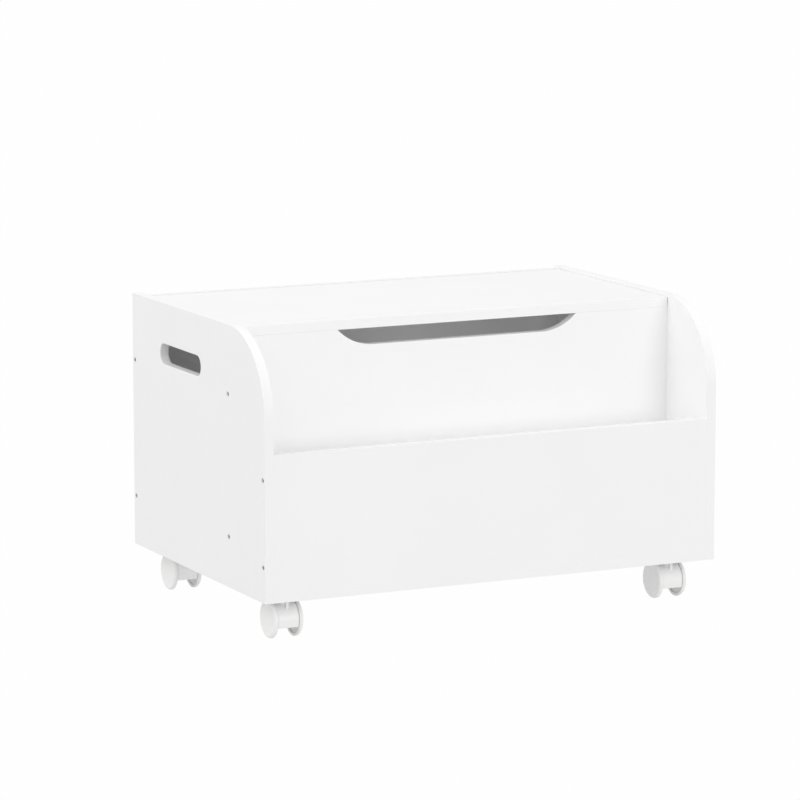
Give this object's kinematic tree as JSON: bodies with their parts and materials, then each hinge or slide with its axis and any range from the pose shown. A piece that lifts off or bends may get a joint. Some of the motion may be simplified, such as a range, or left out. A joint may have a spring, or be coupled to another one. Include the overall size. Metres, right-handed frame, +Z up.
{
  "type": "toy box",
  "caption": "Low white board toy box on twin-wheel castors, with a lift-up lid, hand holes in its sides, a finger notch under the lid and an open book trough along the front.",
  "frame": {"origin": "on the floor, under the middle of the box's width and depth", "axes": "+X to the right along the width, -Y to the front where the book trough is, +Z up"},
  "size_m": [0.6, 0.4, 0.367],
  "materials": {
    "white_board": "smooth white satin lacquer on fibreboard",
    "hood_plastic": "moulded white",
    "wheel_plastic": "moulded white",
    "bush_nylon": "natural nylon",
    "zinc_steel": "bright zinc plate",
    "beech_dowel": "bare beech"
  },
  "bodies": {
    "box": {"left_side_panel": "white_board", "right_side_panel": "white_board", "front_panel": "white_board", "divider_panel": "white_board", "back_panel": "white_board", "bottom_panel": "white_board", "left_pivot_bush": "bush_nylon", "right_pivot_bush": "bush_nylon", "left_side_screws": "zinc_steel", "right_side_screws": "zinc_steel", "bottom_screws": "zinc_steel", "wall_dowels": "beech_dowel", "floor_dowels": "beech_dowel", "front_left_castor_plate": "zinc_steel", "front_left_castor_plate_screws": "zinc_steel", "front_left_castor_stem": "zinc_steel", "front_right_castor_plate": "zinc_steel", "front_right_castor_plate_screws": "zinc_steel", "front_right_castor_stem": "zinc_steel", "back_left_castor_plate": "zinc_steel", "back_left_castor_plate_screws": "zinc_steel", "back_left_castor_stem": "zinc_steel", "back_right_castor_plate": "zinc_steel", "back_right_castor_plate_screws": "zinc_steel", "back_right_castor_stem": "zinc_steel"},
    "lid": {"lid": "white_board", "left_lid_pivot_pin": "zinc_steel", "right_lid_pivot_pin": "zinc_steel"},
    "front_left_castor": {"front_left_castor_hood": "hood_plastic", "front_left_castor_axle": "zinc_steel"},
    "front_left_castor_left": {"front_left_castor_left_wheel": "wheel_plastic"},
    "front_left_castor_right": {"front_left_castor_right_wheel": "wheel_plastic"},
    "front_right_castor": {"front_right_castor_hood": "hood_plastic", "front_right_castor_axle": "zinc_steel"},
    "front_right_castor_left": {"front_right_castor_left_wheel": "wheel_plastic"},
    "front_right_castor_right": {"front_right_castor_right_wheel": "wheel_plastic"},
    "back_left_castor": {"back_left_castor_hood": "hood_plastic", "back_left_castor_axle": "zinc_steel"},
    "back_left_castor_left": {"back_left_castor_left_wheel": "wheel_plastic"},
    "back_left_castor_right": {"back_left_castor_right_wheel": "wheel_plastic"},
    "back_right_castor": {"back_right_castor_hood": "hood_plastic", "back_right_castor_axle": "zinc_steel"},
    "back_right_castor_left": {"back_right_castor_left_wheel": "wheel_plastic"},
    "back_right_castor_right": {"back_right_castor_right_wheel": "wheel_plastic"}
  },
  "joints": [
    {"name": "lid_hinge", "type": "hinge", "parent": "box", "child": "lid", "pos_m": [0, 0.18, 0.358], "axis": [-1, 0, 0], "range_deg": [0, 105]},
    {"name": "front_left_swivel", "type": "hinge", "parent": "box", "child": "front_left_castor", "pos_m": [-0.258, -0.158, 0.05], "axis": [0, 0, 1], "continuous": true},
    {"name": "front_left_left_wheel_spin", "type": "hinge", "parent": "front_left_castor", "child": "front_left_castor_left", "pos_m": [-0.258, -0.152, 0.023], "axis": [1, 0, 0], "continuous": true},
    {"name": "front_left_right_wheel_spin", "type": "hinge", "parent": "front_left_castor", "child": "front_left_castor_right", "pos_m": [-0.258, -0.152, 0.023], "axis": [1, 0, 0], "continuous": true},
    {"name": "front_right_swivel", "type": "hinge", "parent": "box", "child": "front_right_castor", "pos_m": [0.258, -0.158, 0.05], "axis": [0, 0, 1], "continuous": true},
    {"name": "front_right_left_wheel_spin", "type": "hinge", "parent": "front_right_castor", "child": "front_right_castor_left", "pos_m": [0.258, -0.152, 0.023], "axis": [1, 0, 0], "continuous": true},
    {"name": "front_right_right_wheel_spin", "type": "hinge", "parent": "front_right_castor", "child": "front_right_castor_right", "pos_m": [0.258, -0.152, 0.023], "axis": [1, 0, 0], "continuous": true},
    {"name": "back_left_swivel", "type": "hinge", "parent": "box", "child": "back_left_castor", "pos_m": [-0.258, 0.158, 0.05], "axis": [0, 0, 1], "continuous": true},
    {"name": "back_left_left_wheel_spin", "type": "hinge", "parent": "back_left_castor", "child": "back_left_castor_left", "pos_m": [-0.258, 0.152, 0.023], "axis": [1, 0, 0], "continuous": true},
    {"name": "back_left_right_wheel_spin", "type": "hinge", "parent": "back_left_castor", "child": "back_left_castor_right", "pos_m": [-0.258, 0.152, 0.023], "axis": [1, 0, 0], "continuous": true},
    {"name": "back_right_swivel", "type": "hinge", "parent": "box", "child": "back_right_castor", "pos_m": [0.258, 0.158, 0.05], "axis": [0, 0, 1], "continuous": true},
    {"name": "back_right_left_wheel_spin", "type": "hinge", "parent": "back_right_castor", "child": "back_right_castor_left", "pos_m": [0.258, 0.152, 0.023], "axis": [1, 0, 0], "continuous": true},
    {"name": "back_right_right_wheel_spin", "type": "hinge", "parent": "back_right_castor", "child": "back_right_castor_right", "pos_m": [0.258, 0.152, 0.023], "axis": [1, 0, 0], "continuous": true}
  ]
}
